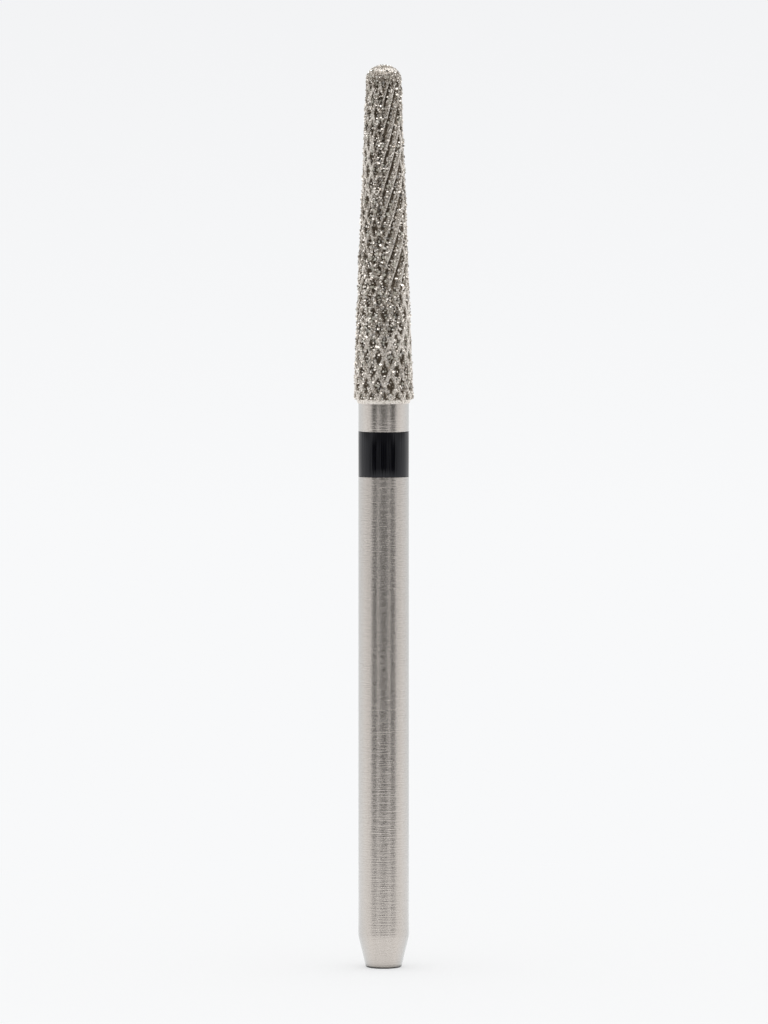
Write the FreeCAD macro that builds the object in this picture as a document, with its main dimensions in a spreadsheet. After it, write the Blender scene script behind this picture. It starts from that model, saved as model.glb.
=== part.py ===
"""Tapered diamond bur for a straight dental handpiece.

A stainless steel blank is turned in one piece: a tapered foot, a long shank, a shallow seat for
the colour band, a neck and a slim tapered core with a domed tip. The core carries a plated nickel
layer that holds the diamond grit. Right-hand and left-hand lands cross on this coat and leave
rows of rhombic pockets between them. A black enamel band shows the grit grade.

The bur stands on its foot: the origin is the centre of the foot's flat end, and +Z runs up the
axis to the tip. Lengths are in millimetres and angles in degrees.
"""

import FreeCAD
import Part
import Sketcher
import math
import os

PARTS_FOLDER = "parts"

# Driving dimensions: alias, value, meaning
DIMENSIONS = [
    ("foot_taper_length", 1.51, "height of the tapered foot"),
    ("foot_taper_angle", 13.2, "slope of the foot from the axis"),
    ("foot_edge_bevel", 0.06, "height and width of the bevel round the foot's end face"),
    ("foot_corner_radius", 1.0, "blend from the foot into the shank"),
    ("shank_diameter", 2.35, "straight handpiece shank"),
    ("shank_length", 21.03, "plain shank between the foot and the band"),
    ("band_width", 2.08, "height of the colour band"),
    ("band_seat_depth", 0.05, "depth of the seat turned for the band"),
    ("band_enamel_thickness", 0.04, "enamel laid in the seat"),
    ("neck_length", 1.44, "bare neck between the band and the coat"),
    ("core_length", 15.05, "tapered core from the coat's foot to its own tip"),
    ("core_taper_angle", 2.27, "slope of the core from the axis"),
    ("core_crown_share", 0.56, "height of the core's domed end as a share of its radius"),
    ("coat_thickness", 0.19, "plated layer, square to the core's surface"),
    ("coat_foot_chamfer", 0.1, "bevel of the coat's lower outer edge"),
    ("coat_shoulder_radius", 0.28, "rounding between the coat's side and its dome"),
    ("lands_each_way", 14, "number of helical lands of each hand"),
    ("land_pitch", 1.3, "height between two lands of one hand"),
    ("first_row_height", 0.02, "first row of pockets above the coat's foot"),
    ("first_pocket_angle", -88.4, "direction of one pocket of that row, from +X towards +Y"),
    ("pocket_mouth_share", 0.58, "mouth of a pocket as a share of its cell between the lands"),
    ("pocket_floor_share", 0.38, "floor of a pocket as a share of its cell"),
    ("pocket_depth", 0.11, "depth of a pocket, square to the coat's surface"),
    ("plain_tip_length", 0.75, "length at the tip with no pockets"),
]

# Heights and radii that follow from them: alias, formula
PLACES = [
    ("shank_radius", "=Dimensions.shank_diameter / 2"),
    ("foot_top", "=Dimensions.foot_taper_length"),
    ("foot_bevel_top", "=Dimensions.foot_edge_bevel"),
    ("foot_radius",
     "=shank_radius - (foot_top - foot_bevel_top) * tan(Dimensions.foot_taper_angle)"),
    ("foot_face_radius", "=foot_radius - Dimensions.foot_edge_bevel"),
    ("band_bottom", "=foot_top + Dimensions.shank_length"),
    ("band_top", "=band_bottom + Dimensions.band_width"),
    ("seat_radius", "=shank_radius - Dimensions.band_seat_depth"),
    ("enamel_radius", "=seat_radius + Dimensions.band_enamel_thickness"),
    ("coat_foot", "=band_top + Dimensions.neck_length"),
    ("core_top", "=coat_foot + Dimensions.core_length"),
    ("core_slope", "=tan(Dimensions.core_taper_angle)"),
    ("crown_edge_radius",
     "=(shank_radius - Dimensions.core_length * core_slope)"
     " / (1 - Dimensions.core_crown_share * core_slope)"),
    ("crown_rise", "=crown_edge_radius * Dimensions.core_crown_share"),
    ("crown_edge_height", "=core_top - crown_rise"),
    ("crown_radius", "=(crown_edge_radius^2 + crown_rise^2) / (2 * crown_rise)"),
    ("crown_centre", "=core_top - crown_radius"),
    ("coat_foot_edge",
     "=shank_radius + Dimensions.coat_thickness / cos(Dimensions.core_taper_angle)"),
    ("coat_top", "=core_top + Dimensions.coat_thickness"),
    ("coat_crown_radius", "=crown_radius + Dimensions.coat_thickness"),
    ("coat_radius_at_centre", "=coat_foot_edge - (crown_centre - coat_foot) * core_slope"),
    ("coat_edge_rise",
     "=(coat_radius_at_centre * core_slope"
     " + sqrt(coat_crown_radius^2 * (1 + core_slope^2) - coat_radius_at_centre^2))"
     " / (1 + core_slope^2)"),
    ("coat_edge_height", "=crown_centre + coat_edge_rise"),
    ("coat_edge_radius", "=coat_radius_at_centre - coat_edge_rise * core_slope"),
]

# How far a pocket's cutter stands proud of the coat's surface
CUTTER_RISE = 0.05

ORIGIN = -1
VERTICAL_AXIS = -2
START = 1
END = 2
CENTRE = 3

doc = FreeCAD.newDocument("DentalBur")


def make_dimensions():
    """The sheet of driving dimensions, one plain number and alias in each row."""
    sheet = doc.addObject("Spreadsheet::Sheet", "Dimensions")
    for row, (alias, value, meaning) in enumerate(DIMENSIONS, start=1):
        sheet.set(f"A{row}", meaning)
        sheet.set(f"B{row}", str(value))
        sheet.setAlias(f"B{row}", alias)
    doc.recompute()
    return sheet


def make_places():
    """The sheet of heights and radii that the pieces share."""
    sheet = doc.addObject("Spreadsheet::Sheet", "Places")
    for row, (alias, formula) in enumerate(PLACES, start=1):
        sheet.set(f"B{row}", formula)
        sheet.setAlias(f"B{row}", alias)
    doc.recompute()
    return sheet


dimensions = make_dimensions()
places = make_places()


def size(alias):
    return float(getattr(dimensions, alias))


def place(alias):
    return float(getattr(places, alias))


def make_body(label):
    body = doc.addObject("PartDesign::Body", label)
    body.Label = label
    return body


def origin_plane(body, role):
    """One of the body's own origin planes."""
    for feature in body.Origin.OriginFeatures:
        if feature.Role == role:
            return feature
    raise ValueError(f"{body.Label} has no origin plane {role}")


def fix_height(sketch, curve, end, alias):
    """Binds the height of a curve's end to a cell of the Places sheet."""
    index = sketch.addConstraint(
        Sketcher.Constraint("DistanceY", ORIGIN, START, curve, end, place(alias))
    )
    sketch.setExpression(f"Constraints[{index}]", f"Places.{alias}")


def fix_radius(sketch, curve, end, alias):
    """Binds the distance of a curve's end from the axis to a cell of the Places sheet."""
    index = sketch.addConstraint(
        Sketcher.Constraint("DistanceX", ORIGIN, START, curve, end, place(alias))
    )
    sketch.setExpression(f"Constraints[{index}]", f"Places.{alias}")


def dome_arc(edge, apex):
    """The arc from the dome's edge to its apex, with its centre on the axis."""
    rise = apex.y - edge.y
    radius = (edge.x ** 2 + rise ** 2) / (2 * rise)
    centre = FreeCAD.Vector(0, apex.y - radius, 0)
    start_angle = math.asin((edge.y - centre.y) / radius)
    circle = Part.Circle(centre, FreeCAD.Vector(0, 0, 1), radius)
    return Part.ArcOfCircle(circle, start_angle, math.pi / 2)


def turned_profile(body, corners, dome_edge=None):
    """Sketches half of a turned piece and revolves it round the axis.

    Each corner is a pair of cells of the Places sheet, its radius and its height. A radius of
    None is a corner on the axis, and a height of None is a corner on the foot's plane. The
    side that starts at the corner numbered dome_edge is a dome that ends on the axis.
    """
    sketch = body.newObject("Sketcher::SketchObject", f"{body.Label}_profile")
    sketch.AttachmentSupport = (origin_plane(body, "XZ_Plane"), [""])
    sketch.MapMode = "FlatFace"

    points = []
    for radius, height in corners:
        across = place(radius) if radius else 0.0
        up = place(height) if height else 0.0
        points.append(FreeCAD.Vector(across, up, 0))

    sides = []
    for number, start in enumerate(points):
        end = points[(number + 1) % len(points)]
        if number == dome_edge:
            sides.append(sketch.addGeometry(dome_arc(start, end)))
            sketch.addConstraint(
                Sketcher.Constraint("PointOnObject", sides[-1], CENTRE, VERTICAL_AXIS)
            )
        else:
            sides.append(sketch.addGeometry(Part.LineSegment(start, end)))

    for number, (radius, height) in enumerate(corners):
        side = sides[number]
        sketch.addConstraint(
            Sketcher.Constraint("Coincident", sides[number - 1], END, side, START)
        )
        if radius is None and height is None:
            sketch.addConstraint(Sketcher.Constraint("Coincident", side, START, ORIGIN, START))
        elif radius is None:
            sketch.addConstraint(
                Sketcher.Constraint("PointOnObject", side, START, VERTICAL_AXIS)
            )
            fix_height(sketch, side, START, height)
        elif height is None:
            sketch.addConstraint(Sketcher.Constraint("Horizontal", sides[number - 1]))
            fix_radius(sketch, side, START, radius)
        else:
            fix_radius(sketch, side, START, radius)
            fix_height(sketch, side, START, height)

    revolution = body.newObject("PartDesign::Revolution", f"{body.Label}_turned")
    revolution.Profile = sketch
    revolution.ReferenceAxis = (sketch, ["V_Axis"])
    revolution.Angle = 360
    doc.recompute()
    return revolution


def nearest_circle(shape, radius, height):
    """The name of the shape's circular edge that lies nearest to a radius and a height."""
    misses = []
    for number, edge in enumerate(shape.Edges, start=1):
        if not edge.Degenerated and isinstance(edge.Curve, Part.Circle):
            sideways = edge.Curve.Radius - radius
            upwards = edge.Curve.Center.z - height
            misses.append((math.hypot(sideways, upwards), f"Edge{number}"))
    return min(misses)[1]


def soften_edge(body, kind, corner, bound_size):
    """Rounds or bevels a turned edge, given by its two cells of the Places sheet."""
    radius, height = corner
    base = body.Tip
    feature = body.newObject(f"PartDesign::{kind}", f"{body.Label}_{kind.lower()}")
    feature.Base = (base, [nearest_circle(base.Shape, place(radius), place(height))])
    feature.setExpression("Radius" if kind == "Fillet" else "Size", bound_size)
    doc.recompute()


def make_steel_blank():
    """The turned blank, from the foot to the domed tip of the core."""
    body = make_body("steel_blank")
    turned_profile(
        body,
        [
            (None, None),
            ("foot_face_radius", None),
            ("foot_radius", "foot_bevel_top"),
            ("shank_radius", "foot_top"),
            ("shank_radius", "band_bottom"),
            ("seat_radius", "band_bottom"),
            ("seat_radius", "band_top"),
            ("shank_radius", "band_top"),
            ("shank_radius", "coat_foot"),
            ("crown_edge_radius", "crown_edge_height"),
            (None, "core_top"),
        ],
        dome_edge=9,
    )
    soften_edge(body, "Fillet", ("shank_radius", "foot_top"), "Dimensions.foot_corner_radius")
    return body


def make_colour_band():
    """The enamel ring, which fills its seat to just under the shank's surface."""
    body = make_body("colour_band")
    turned_profile(
        body,
        [
            ("seat_radius", "band_bottom"),
            ("enamel_radius", "band_bottom"),
            ("enamel_radius", "band_top"),
            ("seat_radius", "band_top"),
        ],
    )
    return body


def make_coat_envelope():
    """The outer form of the coat, still solid to the axis."""
    body = make_body("coat_envelope")
    turned_profile(
        body,
        [
            (None, "coat_foot"),
            ("coat_foot_edge", "coat_foot"),
            ("coat_edge_radius", "coat_edge_height"),
            (None, "coat_top"),
        ],
        dome_edge=2,
    )
    foot_edge = ("coat_foot_edge", "coat_foot")
    dome_edge = ("coat_edge_radius", "coat_edge_height")
    soften_edge(body, "Chamfer", foot_edge, "Dimensions.coat_foot_chamfer")
    soften_edge(body, "Fillet", dome_edge, "Dimensions.coat_shoulder_radius")
    return body


def rhombus(centre, across, along):
    """A closed four-sided wire whose corners lie across and along from its centre."""
    corners = [centre + across, centre + along, centre - across, centre - along]
    return Part.makePolygon(corners + [corners[0]])


def pocket_cutter(height):
    """One tapering rhombic cutter, square to the coat's surface above +X."""
    taper = math.radians(size("core_taper_angle"))
    outwards = FreeCAD.Vector(math.cos(taper), 0, math.sin(taper))
    along_surface = FreeCAD.Vector(-math.sin(taper), 0, math.cos(taper))
    sideways = FreeCAD.Vector(0, 1, 0)

    radius = place("coat_foot_edge") - (height - place("coat_foot")) * place("core_slope")
    surface = FreeCAD.Vector(radius, 0, height)
    half_cell_width = math.pi * radius / size("lands_each_way")
    half_cell_height = size("land_pitch") / 2

    depth = size("pocket_depth")
    floor_share = size("pocket_floor_share")
    mouth_share = size("pocket_mouth_share")
    top_share = mouth_share + (mouth_share - floor_share) * CUTTER_RISE / depth

    rings = []
    for share, rise in ((top_share, CUTTER_RISE), (floor_share, -depth)):
        rings.append(
            rhombus(
                surface + outwards * rise,
                sideways * (half_cell_width * share),
                along_surface * (half_cell_height * share),
            )
        )
    return Part.makeLoft(rings, True, True)


def make_pocket_cutters():
    """Rows of cutters, each row turned by half a cell from the one below it."""
    count = int(round(size("lands_each_way")))
    cell_angle = 360 / count
    row_step = size("land_pitch") / 2
    top_limit = place("coat_top") - size("plain_tip_length")
    reach = row_step * size("pocket_mouth_share")

    cutters = []
    row = 0
    height = place("coat_foot") + size("first_row_height")
    while height + reach < top_limit:
        cutter = pocket_cutter(height)
        row_angle = size("first_pocket_angle") + cell_angle / 2 * (row % 2)
        for number in range(count):
            copy = cutter.copy()
            angle = row_angle + cell_angle * number
            copy.rotate(FreeCAD.Vector(0, 0, 0), FreeCAD.Vector(0, 0, 1), angle)
            cutters.append(copy)
        row += 1
        height += row_step

    feature = doc.addObject("Part::Feature", "pocket_cutters")
    feature.Shape = Part.makeCompound(cutters)
    feature.Label = "pocket_cutters"
    return feature


def cut(label, base, tool):
    """A boolean cut of one object from another."""
    feature = doc.addObject("Part::Cut", label)
    feature.Label = label
    feature.Base = base
    feature.Tool = tool
    doc.recompute()
    return feature


def make_diamond_coat(blank):
    """The coat: its outer form, less the blank inside it, less the pockets."""
    envelope = make_coat_envelope()
    shell = cut("coat_shell", envelope, blank)
    return cut("diamond_coat", shell, make_pocket_cutters())


steel_blank = make_steel_blank()
colour_band = make_colour_band()
diamond_coat = make_diamond_coat(steel_blank)
sub_parts = [steel_blank, colour_band, diamond_coat]

doc.recompute()

for item in doc.Objects:
    for state in item.State:
        if state in ("Invalid", "Error"):
            raise RuntimeError(f"{item.Label} failed to build")

for sub_part in sub_parts:
    if sub_part.Shape.isNull() or not sub_part.Shape.isValid():
        raise RuntimeError(f"{sub_part.Label} has no valid shape")
    if len(sub_part.Shape.Solids) != 1:
        raise RuntimeError(f"{sub_part.Label} is not one solid")

os.makedirs(PARTS_FOLDER, exist_ok=True)
for sub_part in sub_parts:
    sub_part.Shape.exportStep(f"{PARTS_FOLDER}/{sub_part.Label}.step")
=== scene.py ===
"""Looks of the tapered diamond bur, standing on its foot on a pale studio floor.

Each piece is drawn in millimetres, as on its drawing, and scaled to metres when it is finished.
The axis of the bur is Z, and -Y is the side seen from the front.
"""

import math
import random

import bmesh
import bpy
from mathutils import Matrix, Vector, noise


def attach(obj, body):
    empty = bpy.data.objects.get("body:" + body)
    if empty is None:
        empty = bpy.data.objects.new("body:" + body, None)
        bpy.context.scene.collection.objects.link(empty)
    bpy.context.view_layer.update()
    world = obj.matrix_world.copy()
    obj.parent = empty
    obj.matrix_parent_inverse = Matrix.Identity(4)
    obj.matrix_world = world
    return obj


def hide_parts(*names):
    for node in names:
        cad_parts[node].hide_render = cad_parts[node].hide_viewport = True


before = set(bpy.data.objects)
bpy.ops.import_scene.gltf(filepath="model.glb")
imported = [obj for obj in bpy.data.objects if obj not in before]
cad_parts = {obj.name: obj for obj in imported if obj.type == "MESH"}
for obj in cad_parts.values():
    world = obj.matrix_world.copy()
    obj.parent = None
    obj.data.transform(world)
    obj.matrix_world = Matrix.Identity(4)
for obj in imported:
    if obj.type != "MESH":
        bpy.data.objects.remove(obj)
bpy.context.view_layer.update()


# CAMERA
# A long lens from the front, tilted a little down, so that the bur fills the height of the
# picture and stands just left of its middle.
camera_distance = 0.3
camera_tilt = math.radians(3.5)
focal_length = 230.7
sensor_size = 36.0
aim_height = 0.020912
aim_right = 0.000016

lens = bpy.data.cameras.new("front_camera")
lens.lens = focal_length
lens.sensor_width = sensor_size
lens.sensor_height = sensor_size
lens.sensor_fit = "VERTICAL"
lens.clip_start = 0.01
lens.clip_end = 10.0
camera = bpy.data.objects.new("front_camera", lens)
camera.location = (
    aim_right,
    -camera_distance * math.cos(camera_tilt),
    aim_height + camera_distance * math.sin(camera_tilt),
)
camera.rotation_euler = (math.pi / 2 - camera_tilt, 0.0, 0.0)
bpy.context.scene.collection.objects.link(camera)
bpy.context.scene.camera = camera
bpy.context.scene.view_settings.view_transform = "Standard"


# STUDIO
# A white room that is dark only behind the camera. Two upright strips light that dark part
# faintly, and a soft lamp hangs overhead. The metal shows this room, and dull surfaces get
# the same plain light from all round.
paper_white = (0.940, 0.946, 0.955, 1.0)
paper_grey = (0.895, 0.900, 0.912, 1.0)
paper_in_shadow = (0.995, 0.998, 1.0, 1.0)
plain_light = 0.95
lamp_brightness = 2.4
horizon_sharpness = 12.5
horizon_level = 0.78
# The brightness of the walls, low down and high up, by degrees from behind the camera
room_low = [
    (0.0, 0.07),
    (9.0, 0.12),
    (16.0, 0.26),
    (23.0, 0.46),
    (28.0, 0.46),
    (34.0, 0.18),
    (39.0, 0.07),
    (46.0, 0.09),
    (53.0, 0.22),
    (59.0, 0.62),
    (66.0, 0.82),
    (90.0, 1.06),
    (118.0, 1.03),
    (150.0, 0.95),
    (180.0, 1.5),
]
room_high = [
    (0.0, 0.20),
    (40.0, 0.28),
    (58.0, 0.80),
    (90.0, 0.45),
    (180.0, 0.60),
]
# How far the high walls, and then the lamp, take over as a direction points further up
walls_rise = [(0.15, 0.0), (0.50, 1.0)]
lamp_edge = [(0.76, 0.0), (0.88, 1.0)]

room = bpy.data.worlds.new("white_room")
room.use_nodes = True
room.cycles.sampling_method = "NONE"
bpy.context.scene.world = room
nodes = room.node_tree.nodes
links = room.node_tree.links
nodes.clear()


def math_node(tree, operation, first, second=0.0, clamp=False):
    """A Math node whose inputs are sockets or plain numbers. Gives its output socket."""
    node = tree.nodes.new("ShaderNodeMath")
    node.operation = operation
    node.use_clamp = clamp
    for socket, value in zip(node.inputs, (first, second)):
        if isinstance(value, bpy.types.NodeSocket):
            tree.links.new(value, socket)
        else:
            socket.default_value = value
    return node.outputs[0]


def ramp_node(tree, factor, stops, interpolation="LINEAR"):
    """A Color Ramp with grey stops (position, value) or coloured ones (position, colour)."""
    node = tree.nodes.new("ShaderNodeValToRGB")
    node.color_ramp.interpolation = interpolation
    band = node.color_ramp.elements
    while len(band) > 1:
        band.remove(band[-1])
    for number, (position, value) in enumerate(stops):
        stop = band[0] if number == 0 else band.new(position)
        stop.position = position
        colour = value if isinstance(value, tuple) else (value, value, value)
        stop.color = (*colour, 1.0)
    tree.links.new(factor, node.inputs["Fac"])
    return node.outputs["Color"]


def mix_colour(tree, factor, first, second, blend="MIX"):
    """A Mix node for colours, given as sockets or plain colours. Gives its output socket."""
    node = tree.nodes.new("ShaderNodeMix")
    node.data_type = "RGBA"
    node.blend_type = blend
    for number, value in ((0, factor), (6, first), (7, second)):
        socket = node.inputs[number]
        if isinstance(value, bpy.types.NodeSocket):
            tree.links.new(value, socket)
        else:
            socket.default_value = value
    return node.outputs[2]


def new_group(name, inputs, outputs):
    """A shader node group with named sockets. Gives the group, its inputs and its outputs."""
    group = bpy.data.node_groups.new(name, "ShaderNodeTree")
    for in_out, sockets in (("INPUT", inputs), ("OUTPUT", outputs)):
        for socket_name, kind in sockets:
            group.interface.new_socket(
                name=socket_name, in_out=in_out, socket_type="NodeSocket" + kind
            )
    given = group.nodes.new("NodeGroupInput").outputs
    result = group.nodes.new("NodeGroupOutput").inputs
    return group, given, result


def place_group(tree, group, **values):
    """Places a group in a node tree, with its inputs given as sockets or plain values."""
    node = tree.nodes.new("ShaderNodeGroup")
    node.node_tree = group
    for name, value in values.items():
        socket = node.inputs[name]
        if isinstance(value, bpy.types.NodeSocket):
            tree.links.new(value, socket)
        else:
            socket.default_value = value
    return node.outputs


def make_room_view():
    """What polished metal sees of the room in a direction, by azimuth and by height."""
    tree, given, result = new_group(
        "room_view", [("Direction", "Vector")], [("Brightness", "Color")]
    )
    parts = tree.nodes.new("ShaderNodeSeparateXYZ")
    tree.links.new(given["Direction"], parts.inputs[0])
    sideways = math_node(tree, "ABSOLUTE", parts.outputs["X"])
    towards = math_node(tree, "MULTIPLY", parts.outputs["Y"], -1.0)
    azimuth = math_node(tree, "ARCTAN2", sideways, towards)
    share = math_node(tree, "DIVIDE", azimuth, math.pi)
    low = ramp_node(tree, share, [(angle / 180.0, value) for angle, value in room_low])
    high = ramp_node(tree, share, [(angle / 180.0, value) for angle, value in room_high])
    height = parts.outputs["Z"]
    rise = ramp_node(tree, height, walls_rise, "EASE")
    walls = mix_colour(tree, rise, low, high)
    overhead = ramp_node(tree, height, lamp_edge, "EASE")
    lamp = (lamp_brightness, lamp_brightness, lamp_brightness, 1.0)
    brightness = mix_colour(tree, overhead, walls, lamp)
    tree.links.new(brightness, result["Brightness"])
    return tree


room_view = make_room_view()
direction = nodes.new("ShaderNodeTexCoord").outputs["Generated"]
rays = nodes.new("ShaderNodeLightPath")
seen = math_node(
    room.node_tree, "MAXIMUM", rays.outputs["Is Camera Ray"], rays.outputs["Is Transmission Ray"]
)
lit = mix_colour(
    room.node_tree,
    rays.outputs["Is Glossy Ray"],
    (plain_light, plain_light, plain_light, 1.0),
    place_group(room.node_tree, room_view, Direction=direction)["Brightness"],
)
up = nodes.new("ShaderNodeSeparateXYZ")
links.new(direction, up.inputs[0])
above = math_node(room.node_tree, "MULTIPLY", up.outputs["Z"], horizon_sharpness)
above = math_node(room.node_tree, "ADD", above, horizon_level, clamp=True)
backdrop = mix_colour(room.node_tree, above, paper_white, paper_grey)
shown = mix_colour(room.node_tree, seen, lit, backdrop)
background = nodes.new("ShaderNodeBackground")
links.new(shown, background.inputs["Color"])
output = nodes.new("ShaderNodeOutputWorld")
links.new(background.outputs[0], output.inputs["Surface"])

mm = 0.001
floor_radius = 70.0
floor_facets = 96
# By share of the floor's radius: how far plain paper takes over from the shadow, the painted
# shadow and glow of the paper in the metal round the foot, and how far the room takes over from it
# there
plain_share = [(0.0, 0.40), (0.60, 1.0)]
# Painted shadow right under the foot and painted glow round it, as the metal sees the paper
painted_shadow_and_glow_round_foot = [
    (0.0128, 0.03),
    (0.0143, 0.06),
    (0.0157, 1.0),
    (0.05, 1.12),
    (0.10, 0.90),
    (0.24, 1.25),
]
room_share = [(0.32, 0.0), (0.68, 1.0)]

floor_shape = bmesh.new()
bmesh.ops.create_circle(
    floor_shape, cap_ends=True, segments=floor_facets, radius=floor_radius
)
bmesh.ops.scale(floor_shape, vec=(mm, mm, mm), verts=floor_shape.verts)
floor_mesh = bpy.data.meshes.new("paper_floor")
floor_shape.to_mesh(floor_mesh)
floor_shape.free()
floor = bpy.data.objects.new("paper_floor", floor_mesh)
bpy.context.scene.collection.objects.link(floor)

paper = bpy.data.materials.new("white_paper")
paper.use_nodes = True
tree = paper.node_tree
tree.nodes.clear()
place = tree.nodes.new("ShaderNodeTexCoord").outputs["Object"]
distance = tree.nodes.new("ShaderNodeVectorMath")
distance.operation = "LENGTH"
tree.links.new(place, distance.inputs[0])
reach = math_node(tree, "MULTIPLY", distance.outputs["Value"], 1.0 / (floor_radius * mm))
rays = tree.nodes.new("ShaderNodeLightPath")

# To the camera, the paper takes the bur's shadow near its foot and is plain white further out
dull = tree.nodes.new("ShaderNodeBsdfDiffuse")
dull.inputs["Color"].default_value = paper_in_shadow
plain = tree.nodes.new("ShaderNodeEmission")
plain.inputs["Color"].default_value = paper_white
near = tree.nodes.new("ShaderNodeMixShader")
lifted = ramp_node(tree, reach, plain_share)
tree.links.new(lifted, near.inputs[0])
tree.links.new(dull.outputs[0], near.inputs[1])
tree.links.new(plain.outputs[0], near.inputs[2])

# In the metal, the paper shows a painted glow: a painted shadow right under the foot, bright round
# it, and fading into the room
fade = ramp_node(tree, reach, room_share, "EASE")
# The paper glows for glossy rays alone: a painted reflection, not light from the lamps
painted_glow_in_metal = tree.nodes.new("ShaderNodeEmission")
far_view = place_group(tree, room_view, Direction=place)["Brightness"]
painted_foot_glow = ramp_node(tree, reach, painted_shadow_and_glow_round_foot)
tree.links.new(mix_colour(tree, fade, painted_foot_glow, far_view), painted_glow_in_metal.inputs["Color"])
surface = tree.nodes.new("ShaderNodeMixShader")
tree.links.new(rays.outputs["Is Glossy Ray"], surface.inputs[0])
tree.links.new(near.outputs[0], surface.inputs[1])
tree.links.new(painted_glow_in_metal.outputs[0], surface.inputs[2])
output = tree.nodes.new("ShaderNodeOutputMaterial")
tree.links.new(surface.outputs[0], output.inputs["Surface"])
floor_mesh.materials.append(paper)


# STEEL BLANK
# One bar of stainless steel, turned and then ground: a bevelled tapered foot, the shank, a
# shallow seat for the colour band, a neck, and the slim core that carries the coat.
shank_radius = 1.175
foot_face_radius = 0.775
foot_radius = 0.835
foot_bevel_height = 0.06
foot_height = 1.51
seat_bottom = 22.54
seat_top = 24.62
seat_radius = 1.125
coat_foot = 26.06
core_edge_radius = 0.589
core_edge_height = 40.78
core_top = 41.11
steel_colour = (0.612, 0.567, 0.526, 1.0)
# A cool grey painted reflection that the steel turns to towards its silhouette
steel_painted_edge_reflection = (0.560, 0.560, 0.556, 1.0)
blank_facets = 144
same_point = 1e-5
same_ring = 1e-4


def wire_profile(corners):
    """A new bmesh with one open line of corners (radius, height) in the XZ plane."""
    shape = bmesh.new()
    previous = None
    for radius, height in corners:
        corner = shape.verts.new((radius, 0.0, height))
        if previous:
            shape.edges.new((previous, corner))
        previous = corner
    return shape


def turn(shape, segments):
    """Spins an open line about Z into a closed skin."""
    bmesh.ops.spin(
        shape,
        geom=shape.verts[:] + shape.edges[:],
        cent=(0.0, 0.0, 0.0),
        axis=(0.0, 0.0, 1.0),
        angle=2.0 * math.pi,
        steps=segments,
        use_merge=True,
    )
    bmesh.ops.remove_doubles(shape, verts=shape.verts, dist=same_point)
    bmesh.ops.recalc_face_normals(shape, faces=shape.faces)


def round_ring(shape, radius, height, size, steps):
    """Rounds the ring of edges at a radius and a height."""
    ring = []
    for edge in shape.edges:
        misses = [
            abs(math.hypot(end.co.x, end.co.y) - radius) + abs(end.co.z - height)
            for end in edge.verts
        ]
        if max(misses) < same_ring:
            ring.append(edge)
    bmesh.ops.bevel(
        shape,
        geom=ring,
        offset=size,
        offset_type="OFFSET",
        affect="EDGES",
        segments=steps,
        profile=0.5,
        material=-1,
    )


def finish_piece(shape, name, material, smooth=True):
    """Scales a bmesh from millimetres to metres and makes it an object on the bur's body."""
    bmesh.ops.scale(shape, vec=(mm, mm, mm), verts=shape.verts)
    mesh = bpy.data.meshes.new(name)
    shape.to_mesh(mesh)
    shape.free()
    mesh.materials.append(material)
    for polygon in mesh.polygons:
        polygon.use_smooth = smooth
    piece = bpy.data.objects.new(name, mesh)
    bpy.context.scene.collection.objects.link(piece)
    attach(piece, "root")
    return piece


def principled(name):
    """A new material with one Principled BSDF. Gives the material and that shader."""
    material = bpy.data.materials.new(name)
    material.use_nodes = True
    return material, material.node_tree.nodes["Principled BSDF"]


def make_grain():
    """Uneven grain of a surface, about 0.5 on average, and the normal of its relief."""
    tree, given, result = new_group(
        "grain",
        [
            ("Place", "Vector"),
            ("Stretch", "Vector"),
            ("Grains per mm", "Float"),
            ("Detail", "Float"),
            ("Harshness", "Float"),
            ("Relief", "Float"),
        ],
        [("Value", "Float"), ("Normal", "Vector")],
    )
    mapping = tree.nodes.new("ShaderNodeMapping")
    tree.links.new(given["Place"], mapping.inputs["Vector"])
    tree.links.new(given["Stretch"], mapping.inputs["Scale"])
    speckles = tree.nodes.new("ShaderNodeTexNoise")
    tree.links.new(mapping.outputs[0], speckles.inputs["Vector"])
    per_metre = math_node(tree, "MULTIPLY", given["Grains per mm"], 1.0 / mm)
    tree.links.new(per_metre, speckles.inputs["Scale"])
    tree.links.new(given["Detail"], speckles.inputs["Detail"])
    tree.links.new(given["Harshness"], speckles.inputs["Roughness"])
    bump = tree.nodes.new("ShaderNodeBump")
    tree.links.new(speckles.outputs["Fac"], bump.inputs["Height"])
    tree.links.new(given["Relief"], bump.inputs["Distance"])
    tree.links.new(speckles.outputs["Fac"], result["Value"])
    tree.links.new(bump.outputs[0], result["Normal"])
    return tree


grain_group = make_grain()


def grain(tree, per_mm, detail, harshness, stretch=(1.0, 1.0, 1.0), relief=0.0):
    """The grain group, placed on a material's Object coordinates. Relief is in mm."""
    place = tree.nodes.new("ShaderNodeTexCoord").outputs["Object"]
    settings = {
        "Place": place,
        "Stretch": stretch,
        "Grains per mm": per_mm,
        "Detail": detail,
        "Harshness": harshness,
        "Relief": relief * mm,
    }
    return place_group(tree, grain_group, **settings)


ground_steel, shader = principled("ground_steel")
tree = ground_steel.node_tree
shader.inputs["Metallic"].default_value = 1.0
shader.inputs["Anisotropic"].default_value = 1.0
shader.inputs["Anisotropic Rotation"].default_value = 0.25
around = tree.nodes.new("ShaderNodeTangent")
around.direction_type = "RADIAL"
around.axis = "Z"
tree.links.new(around.outputs[0], shader.inputs["Tangent"])
specks = grain(tree, per_mm=9.0, detail=2.0, harshness=0.6, stretch=(1.0, 1.0, 1.9))["Value"]
tint = ramp_node(tree, specks, [(0.34, 0.92), (0.50, 1.0), (0.66, 1.03)])
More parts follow.
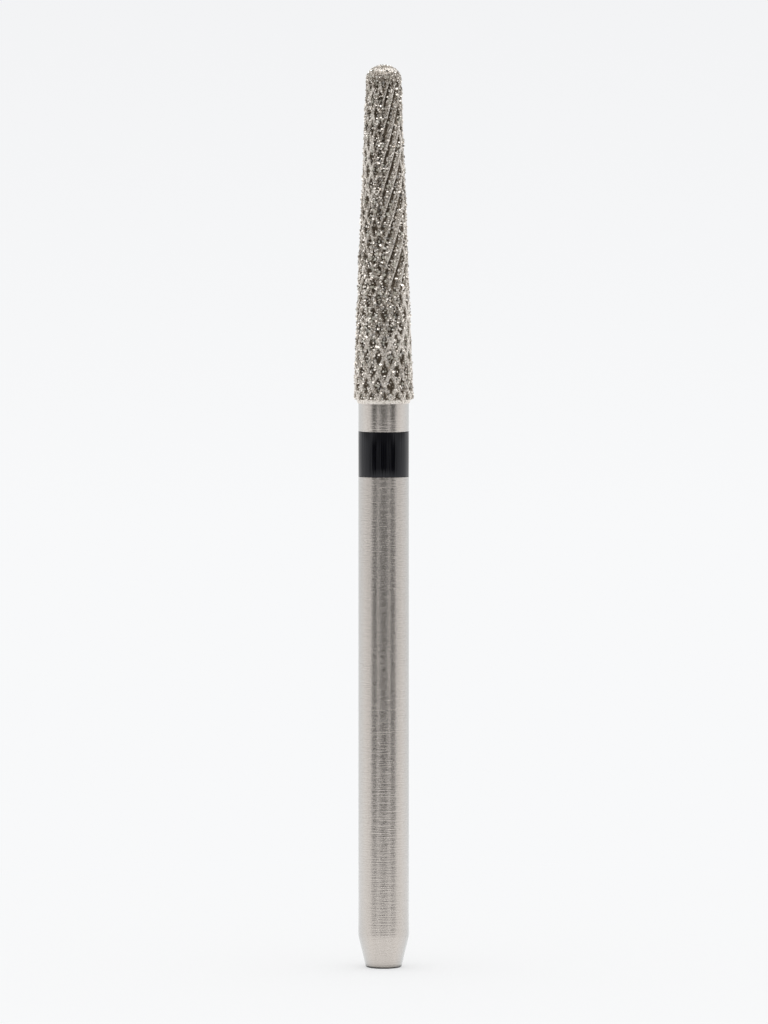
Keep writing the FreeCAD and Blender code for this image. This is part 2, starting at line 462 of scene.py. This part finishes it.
# Painted reflection: the warm steel colour gives way to a cool grey where the surface turns from the
# camera
facing = tree.nodes.new("ShaderNodeLayerWeight").outputs["Facing"]
painted_reflection_share = ramp_node(tree, facing, [(0.22, 0.0), (0.75, 1.0)])
steel_tone_with_painted_reflection = mix_colour(tree, painted_reflection_share, steel_colour, steel_painted_edge_reflection)
tree.links.new(mix_colour(tree, 1.0, steel_tone_with_painted_reflection, tint, "MULTIPLY"), shader.inputs["Base Color"])
tree.links.new(
    ramp_node(tree, specks, [(0.38, 0.216), (0.62, 0.270)]), shader.inputs["Roughness"]
)
turning_marks = grain(
    tree, per_mm=2.2, detail=1.0, harshness=0.5, stretch=(0.5, 0.5, 8.0), relief=0.016
)
tree.links.new(turning_marks["Normal"], shader.inputs["Normal"])

shape = wire_profile(
    [
        (0.0, 0.0),
        (foot_face_radius, 0.0),
        (foot_radius, foot_bevel_height),
        (shank_radius, foot_height),
        (shank_radius, seat_bottom),
        (seat_radius, seat_bottom),
        (seat_radius, seat_top),
        (shank_radius, seat_top),
        (shank_radius, coat_foot),
        (core_edge_radius, core_edge_height),
        (0.0, core_top),
    ]
)
turn(shape, blank_facets)
round_ring(shape, foot_face_radius, 0.0, size=0.02, steps=2)
round_ring(shape, foot_radius, foot_bevel_height, size=0.03, steps=3)
round_ring(shape, shank_radius, foot_height, size=0.12, steps=6)
for height in (seat_bottom, seat_top):
    round_ring(shape, shank_radius, height, size=0.008, steps=2)
blank = finish_piece(shape, "turned_blank", ground_steel)
blank.data.set_sharp_from_angle(angle=math.radians(40.0))
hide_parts("steel_blank")


# COLOUR BAND
# Black enamel, brushed into the seat and baked. It lies just under the shank's surface, and
# its two edges are a little uneven where it was wiped off the steel.
enamel_radius = 1.165
enamel_corner = 0.015
enamel_corner_height = 0.02
enamel_inside_steel = 0.005
enamel_gap = 0.001
enamel_root = seat_radius - enamel_inside_steel
enamel_bottom = seat_bottom + enamel_gap
enamel_top = seat_top - enamel_gap
enamel_facets = 288
edge_waver = 0.03
waves_round_edge = 9.0
lower_edge_waves = 7.0

black_enamel, shader = principled("black_enamel")
tree = black_enamel.node_tree
shader.inputs["Roughness"].default_value = 0.07
shader.inputs["IOR"].default_value = 1.41
shader.inputs["Specular Tint"].default_value = (0.93, 0.94, 1.0, 1.0)
clouds = grain(tree, per_mm=6.0, detail=3.0, harshness=0.5)["Value"]
black = ramp_node(
    tree, clouds, [(0.35, (0.0001, 0.0001, 0.0010)), (0.7, (0.0005, 0.0005, 0.0016))]
)
tree.links.new(black, shader.inputs["Base Color"])
brush_waves = grain(tree, per_mm=9.0, detail=4.0, harshness=0.6, relief=0.0024)
tree.links.new(brush_waves["Normal"], shader.inputs["Normal"])


def unevenness(where, octaves, smoothness=0.8):
    """Uneven values about 0 over a piece, each octave twice as fine as the one before."""
    return noise.fractal(where, smoothness, 2.0, octaves)


shape = wire_profile(
    [
        (enamel_root, enamel_bottom),
        (enamel_radius - enamel_corner, enamel_bottom),
        (enamel_radius, seat_bottom + enamel_corner_height),
        (enamel_radius, seat_top - enamel_corner_height),
        (enamel_radius - enamel_corner, enamel_top),
        (enamel_root, enamel_top),
        (enamel_root, enamel_bottom),
    ]
)
turn(shape, enamel_facets)
for vertex in shape.verts:
    angle = math.atan2(vertex.co.y, vertex.co.x)
    around_edge = Vector((math.cos(angle), math.sin(angle), 0.0)) * waves_round_edge
    if vertex.co.z > (seat_bottom + seat_top) / 2:
        vertex.co.z -= edge_waver * abs(unevenness(around_edge, octaves=3))
    else:
        around_edge.z = lower_edge_waves
        vertex.co.z += edge_waver * abs(unevenness(around_edge, octaves=3))
band = finish_piece(shape, "enamel_band", black_enamel)
band.data.set_sharp_from_angle(angle=math.radians(50.0))
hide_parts("colour_band")


# DIAMOND COAT
# Nickel plated on the core until it holds the grit. Right-hand and left-hand helical lands
# cross on it; the rhombic pockets between them are rough, and painted shade darkens them.
core_taper = math.radians(2.27)
coat_foot_radius = 1.365
foot_rounding = 0.13
crown_radius = 0.881
crown_centre = 40.419
shoulder_radius = 0.28
skin_inside_steel = 0.02
coat_facets = 220
coat_rings = 395
lands_each_way = 14
land_pitch = 1.3
land_half_width = 0.185
land_flank = (0.07, 0.09)
land_crown = 0.5
first_row = coat_foot + 0.02
first_pocket_angle = math.radians(-88.4)
pocket_depth = 0.11
plain_tip = 40.75
tip_blend = 0.35
belt_blend = 0.25
mean_radius = 1.1
grains_per_mm = 9.0
grain_height = 0.008
lumps_per_mm = 6.5
rough_grain_height = 0.012
rough_lump_height = 0.04
# How much painted shade a rough patch gets, as a share of a pocket's
painted_shade_when_rough = 0.5
rough_patches_per_mm = 0.55
rough_patch_start = Vector((5.0, 1.0, 2.0))
rough_patch_edge = (-0.30, 0.45)
stepped_patches_per_mm = 0.6
stepped_patch_start = Vector((3.1, 0.7, 9.2))
stepped_patch_edge = (0.22, 0.45)
# Across a sharp-crested land, by share of the pitch from one crest to the next
drop_span = (0.03, 0.11)
slope_span = (0.22, 0.50)
crest_span = (0.84, 0.97)
gritty_from = (0.22, 0.36)
gritty_to = (0.82, 0.92)
slope_top = 0.68
slope_roughness = 0.6
grit_follows_crests = 0.85
left_land_lost = 0.75


def smooth_step(low, high, value):
    """0 up to the low value and 1 from the high value on, with a soft rise between them."""
    share = min(max((value - low) / (high - low), 0.0), 1.0)
    return share * share * (3.0 - 2.0 * share)


def sector(angle, middle, reach):
    """1 in the middle of a sector of the head, fading to 0 at its reach. Degrees."""
    away = abs((math.degrees(angle) - middle + 180.0) % 360.0 - 180.0)
    return 1.0 - smooth_step(0.5 * reach, reach, away)


def belt(height, low, high):
    """1 between two heights of the head, fading to 0 within half a millimetre."""
    above_low = smooth_step(low - belt_blend, low + belt_blend, height)
    above_high = smooth_step(high - belt_blend, high + belt_blend, height)
    return above_low * (1.0 - above_high)


def rough_share(angle, height, where):
    """How far the grit has run over the lands, from 0 to 1: in patches, up the front, on the tip."""
    spread = unevenness(where * rough_patches_per_mm + rough_patch_start, octaves=2)
    patches = smooth_step(*rough_patch_edge, spread)
    patches *= 0.5 + 0.5 * smooth_step(28.0, 30.5, height)
    strip = sector(angle, middle=-100.0, reach=26.0) * belt(height, low=29.0, high=40.2)
    waist = 0.8 * sector(angle, middle=-92.0, reach=62.0) * belt(height, low=29.2, high=31.6)
    tip = 0.7 * belt(height, low=40.3, high=42.0)
    brow = 0.95 * sector(angle, middle=-92.0, reach=70.0) * belt(height, low=40.35, high=40.85)
    return max(0.75 * patches, 0.8 * strip, waist, tip, brow)


def stepped_share(angle, height, where):
    """How far sharp right-hand crests take the place of the crossed lands, from 0 to 1."""
    front = sector(angle, middle=-66.0, reach=34.0) * belt(height, low=31.3, high=40.4)
    spread = noise.noise(where * stepped_patches_per_mm + stepped_patch_start)
    elsewhere = smooth_step(*stepped_patch_edge, spread) * smooth_step(30.0, 32.0, height)
    return max(front, elsewhere)


def land_height(phase):
    """Height of one land across its pitch: 1 on its crown, 0 in the pockets beside it."""
    offset = abs(phase - 0.5)
    flank_top = land_half_width - land_flank[0]
    flank_foot = land_half_width + land_flank[1]
    crown = 1.0 - land_crown * offset * offset
    return (1.0 - smooth_step(flank_top, flank_foot, offset)) * crown


def step_height(turn_share):
    """Height of a land with a sharp crest: a steep drop into a groove, then a slope up again."""
    drop = 1.0 - smooth_step(*drop_span, turn_share)
    slope_up = smooth_step(*slope_span, turn_share)
    crest = smooth_step(*crest_span, turn_share)
    top = slope_top + (1.0 - slope_top) * crest if turn_share > slope_span[1] else 0.0
    return max(drop, slope_top * slope_up, top)


def coat_relief(angle, height):
    """Height of the coat's face over its envelope in mm, the painted shade of its pockets and rough
    patches, how rough.
    """
    around = lands_each_way * (angle - first_pocket_angle) / (2.0 * math.pi)
    along = (height - first_row) / land_pitch
    right_phase = (around - along) % 1.0
    left_phase = (around + along) % 1.0
    where = Vector((math.cos(angle), math.sin(angle), 0.0)) * mean_radius
    where.z = height
    stepped = stepped_share(angle, height, where)
    right = land_height(right_phase)
    left = land_height(left_phase) * (1.0 - left_land_lost * stepped)
    turn_share = (right_phase + 0.5) % 1.0
    right += (step_height(turn_share) - right) * stepped
    land = max(right, left)
    land = max(land, smooth_step(plain_tip - tip_blend, plain_tip, height))
    fine_grain = unevenness(where * grains_per_mm, octaves=3, smoothness=0.7)
    lumps = 0.5 - noise.voronoi(where * lumps_per_mm)[0][0]
    rough = max(1.0 - land, rough_share(angle, height, where))
    gritty_slope = smooth_step(*gritty_from, turn_share)
    gritty_slope *= 1.0 - smooth_step(*gritty_to, turn_share)
    rough += (slope_roughness * gritty_slope - rough) * grit_follows_crests * stepped
    relief = pocket_depth * (land - 1.0)
    relief += grain_height * fine_grain
    relief += rough * (rough_lump_height * lumps + rough_grain_height * fine_grain)
    # The second value is painted shade: full in the pockets, and half as much where the face is
    # rough
    return relief, max(1.0 - land, painted_shade_when_rough * rough), rough


mottle_share = 0.4

plated_nickel, shader = principled("plated_nickel")
tree = plated_nickel.node_tree
shader.inputs["Metallic"].default_value = 0.8
# The pocket attribute is painted shade from the relief; mottle and pore speckles are added to it
pocket = tree.nodes.new("ShaderNodeAttribute")
pocket.attribute_name = "pocket"
mottle = grain(tree, per_mm=7.0, detail=4.0, harshness=0.65)["Value"]
pores = grain(tree, per_mm=16.0, detail=2.0, harshness=0.6)["Value"]
speckle = ramp_node(tree, pores, [(0.38, 0.46), (0.52, 0.0)])
mottled = math_node(tree, "MULTIPLY", mottle, mottle_share)
painted_shade_with_mottle = math_node(tree, "ADD", pocket.outputs["Fac"], mottled)
painted_shade_with_mottle = math_node(tree, "ADD", painted_shade_with_mottle, speckle)
# Light nickel on the lands, going to dark brown painted shade in the pockets
nickel = ramp_node(
    tree,
    painted_shade_with_mottle,
    [
        (0.20, (0.93, 0.875, 0.81)),
        (0.44, (0.80, 0.745, 0.68)),
        (0.76, (0.28, 0.234, 0.183)),
        (1.0, (0.135, 0.106, 0.077)),
    ],
)
tree.links.new(nickel, shader.inputs["Base Color"])
tree.links.new(ramp_node(tree, mottle, [(0.3, 0.36), (0.7, 0.55)]), shader.inputs["Roughness"])
nodules = grain(tree, per_mm=13.0, detail=3.0, harshness=0.65, relief=0.06)
tree.links.new(nodules["Normal"], shader.inputs["Normal"])


def add_arc(shape, centre_radius, centre_height, angle, steps):
    """Carries an open line on from its last corner, round a centre in the XZ plane."""
    shape.verts.ensure_lookup_table()
    bmesh.ops.spin(
        shape,
        geom=[shape.verts[-1]],
        cent=(centre_radius, 0.0, centre_height),
        axis=(0.0, -1.0, 0.0),
        angle=angle,
        steps=steps,
    )
    shape.verts.ensure_lookup_table()
    return shape.verts[-1]


def add_line(shape, radius, height):
    """Carries an open line straight on from its last corner."""
    shape.verts.ensure_lookup_table()
    last = shape.verts[-1]
    corner = shape.verts.new((radius, 0.0, height))
    return shape.edges.new((last, corner))


outline = wire_profile(
    [
        (0.0, core_top - skin_inside_steel),
        (core_edge_radius - skin_inside_steel, core_edge_height),
        (shank_radius - skin_inside_steel, coat_foot),
        (coat_foot_radius - foot_rounding, coat_foot),
    ]
)
foot_end = add_arc(
    outline,
    coat_foot_radius - foot_rounding,
    coat_foot + foot_rounding,
    math.pi / 2 + core_taper,
    steps=5,
)

# The shoulder's arc touches the side and the crown. Its centre lies on the side moved inwards
# by its radius, and as far from the crown's centre as the two radii differ.
slope = math.tan(core_taper)
side_at_foot = foot_end.co.x + (foot_end.co.z - coat_foot) * slope
moved_side_at_foot = side_at_foot - shoulder_radius / math.cos(core_taper)
moved_side_at_crown = moved_side_at_foot - (crown_centre - coat_foot) * slope
inner_reach = crown_radius - shoulder_radius
rise = (
    moved_side_at_crown * slope
    + math.sqrt(inner_reach ** 2 * (1 + slope ** 2) - moved_side_at_crown ** 2)
) / (1 + slope ** 2)
shoulder_centre_radius = moved_side_at_crown - rise * slope
shoulder_centre_height = crown_centre + rise
shoulder_foot_radius = shoulder_centre_radius + shoulder_radius * math.cos(core_taper)
shoulder_foot_height = shoulder_centre_height + shoulder_radius * math.sin(core_taper)
side = add_line(outline, shoulder_foot_radius, shoulder_foot_height)
shoulder_end_angle = math.atan2(rise, shoulder_centre_radius)
add_arc(
    outline,
    shoulder_centre_radius,
    shoulder_centre_height,
    shoulder_end_angle - core_taper,
    steps=8,
)
crown_end = add_arc(outline, 0.0, crown_centre, math.pi / 2 - shoulder_end_angle, steps=20)
crown_end.co.x = 0.0
bmesh.ops.subdivide_edges(outline, edges=[side], cuts=coat_rings, use_grid_fill=False)
face_line = sorted(
    (corner.co.z, corner.co.x)
    for corner in outline.verts
    if corner.co.x > core_edge_radius or corner.co.z > core_top
)
turn(outline, coat_facets)
outline.normal_update()

# Relief goes on the face alone: the inside, against the core, stays plain
inside_width = 0.06
inside_top = core_top + 0.05
# The pocket attribute carries painted shade: dark in the pockets, and less so in rough patches
pocket_shade_layer = outline.verts.layers.float.new("pocket")
for vertex in outline.verts:
    radius = math.hypot(vertex.co.x, vertex.co.y)
    core_here = shank_radius - (vertex.co.z - coat_foot) * slope
    if vertex.co.z < inside_top and radius < core_here + inside_width:
        continue
    angle = math.atan2(vertex.co.y, vertex.co.x)
    relief, painted_shade, _ = coat_relief(angle, vertex.co.z)
    vertex[pocket_shade_layer] = painted_shade
    vertex.co += vertex.normal * relief
coat = finish_piece(outline, "plated_coat", plated_nickel)
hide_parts("diamond_coat")


# PLATING RUN-OUT
# A thin bright ring of nickel under the coat, where the plating ran out on the neck, just above
# the stretch that was masked for it.
run_out_height = 0.165
run_out_step = 0.012
run_out_flare = 0.075
ring_inside_metal = 0.01
ring_root = shank_radius - ring_inside_metal
ring_foot = (shank_radius + run_out_step, coat_foot - run_out_height)
ring_waist = (shank_radius + 0.45 * run_out_flare, coat_foot - 0.5 * run_out_height)
ring_top = coat_foot + ring_inside_metal

shape = wire_profile(
    [
        (ring_root, coat_foot - run_out_height),
        ring_foot,
        ring_waist,
        (shank_radius + run_out_flare, ring_top),
        (ring_root, ring_top),
        (ring_root, coat_foot - run_out_height),
    ]
)
turn(shape, blank_facets)
round_ring(shape, *ring_foot, size=0.006, steps=2)
round_ring(shape, *ring_waist, size=0.04, steps=3)
run_out = finish_piece(shape, "plating_run_out", plated_nickel)
run_out.data.set_sharp_from_angle(angle=math.radians(50.0))
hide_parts("diamond_coat")


# DIAMOND GRIT
# Blocky synthetic crystals, each a cube with every other corner cut off, held by the nickel.
# They crowd the pockets, and in rough patches they sit on the lands too. Most have a skin of
# nickel, and the rest are bare.
grit_seed = 7
grit_pitch = 0.10
crystal_kinds = 16
cube_size = 0.9
cube_skew = 0.13
cut_corner = (0.25, 0.45)
crystal_size = (0.08, 0.155)
crystal_share_sunk = 0.44
share_sunk_more_on_land = 0.18
small_grit_share = 0.8
fine_grit_share = 0.75
flattest_crystal = 0.7
nickel_skin_share = 0.86
pocket_from_depth = 0.6
land_to_depth = 0.5
grit_in_pockets = 0.72
grit_on_smooth_lands = 0.12
fine_grit_below = coat_foot + 0.4
fine_grit_above = 40.2
widest_grit = 1.393
crystal_reach_share = 0.7

chance = random.Random(grit_seed)

plated_grit, shader = principled("nickel_skinned_grit")
shader.inputs["Metallic"].default_value = 1.0
tree = plated_grit.node_tree
skin = grain(tree, per_mm=9.0, detail=3.0, harshness=0.6)["Value"]
tree.links.new(
    ramp_node(tree, skin, [(0.34, (0.30, 0.256, 0.206)), (0.53, (0.95, 0.900, 0.840))]),
    shader.inputs["Base Color"],
)
tree.links.new(ramp_node(tree, skin, [(0.3, 0.12), (0.7, 0.28)]), shader.inputs["Roughness"])

bare_grit, shader = principled("bare_diamond_grit")
shader.inputs["IOR"].default_value = 2.42
shader.inputs["Roughness"].default_value = 0.06
tree = bare_grit.node_tree
cloud = grain(tree, per_mm=6.0, detail=3.0, harshness=0.6)["Value"]
tree.links.new(
    ramp_node(tree, cloud, [(0.3, (0.30, 0.28, 0.22)), (0.7, (0.62, 0.60, 0.52))]),
    shader.inputs["Base Color"],
)


def crystal_mesh(number):
    """One crystal about 1 mm across: a skewed cube with every other corner cut off."""
    shape = bmesh.new()
    bmesh.ops.create_cube(shape, size=cube_size)
    for corner in shape.verts:
        corner.co += Vector([chance.uniform(-cube_skew, cube_skew) for axis in range(3)])
    bmesh.ops.bevel(
        shape,
        geom=[corner for corner in shape.verts if corner.co.x * corner.co.y * corner.co.z > 0.0],
        offset=chance.uniform(*cut_corner),
        offset_type="OFFSET",
        affect="VERTICES",
        segments=1,
        profile=0.5,
        material=-1,
    )
    mesh = bpy.data.meshes.new(f"crystal_{number}")
    shape.to_mesh(mesh)
    shape.free()
    return mesh


def turned_at_random():
    """A turn about all three axes, each by any angle."""
    return (
        Matrix.Rotation(chance.uniform(0, 2 * math.pi), 4, "X")
        @ Matrix.Rotation(chance.uniform(0, 2 * math.pi), 4, "Y")
        @ Matrix.Rotation(chance.uniform(0, 2 * math.pi), 4, "Z")
    )


crystals = [crystal_mesh(number) for number in range(crystal_kinds)]
skinned_pile = bmesh.new()
bare_pile = bmesh.new()
travelled = 0.0
for (height, radius), (next_height, next_radius) in zip(face_line, face_line[1:]):
    run = Vector((next_radius - radius, 0.0, next_height - height))
    travelled += run.length
    if travelled < grit_pitch:
        continue
    travelled -= grit_pitch
    outward = Vector((run.z, 0.0, -run.x)).normalized()
    around_count = int(2 * math.pi * radius / grit_pitch)
    for number in range(around_count):
        angle = 2 * math.pi * (number + chance.uniform(0.0, 1.0)) / around_count - math.pi
        shift = chance.uniform(-0.5, 0.5) * grit_pitch
        crystal = chance.choice(crystals)
        breadth = chance.uniform(*crystal_size)
        turning = turned_at_random()
        bare = chance.random() > nickel_skin_share
        relief, _, rough = coat_relief(angle, height + shift)
        in_pocket = relief < -pocket_from_depth * pocket_depth
        on_land = relief > -land_to_depth * pocket_depth
        if in_pocket:
            held = grit_in_pockets * rough
        else:
            held = grit_on_smooth_lands + (1.0 - grit_on_smooth_lands) * rough
        if chance.random() > held:
            continue
        if in_pocket or on_land:
            breadth *= small_grit_share
        if height < fine_grit_below or height > fine_grit_above:
            breadth *= fine_grit_share
        spot = Vector((radius, 0.0, height)) + run.normalized() * shift
        sunk = crystal_share_sunk + (share_sunk_more_on_land if on_land else 0.0)
        lift = relief + breadth * (0.5 - sunk)
        spot += outward * min(lift, widest_grit - radius - crystal_reach_share * breadth)
        thickness = breadth * chance.uniform(flattest_crystal, 1.0)
        place = (
            Matrix.Rotation(angle, 4, "Z")
            @ Matrix.Translation(spot)
            @ turning
            @ Matrix.Diagonal((breadth, thickness, breadth, 1.0))
        )
        copy = crystal.copy()
        copy.transform(place)
        (bare_pile if bare else skinned_pile).from_mesh(copy)
        bpy.data.meshes.remove(copy)
for crystal in crystals:
    bpy.data.meshes.remove(crystal)
for pile, name, material in (
    (skinned_pile, "skinned_grit", plated_grit),
    (bare_pile, "bare_grit", bare_grit),
):
    grit = finish_piece(pile, name, material, smooth=False)
    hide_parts("diamond_coat")
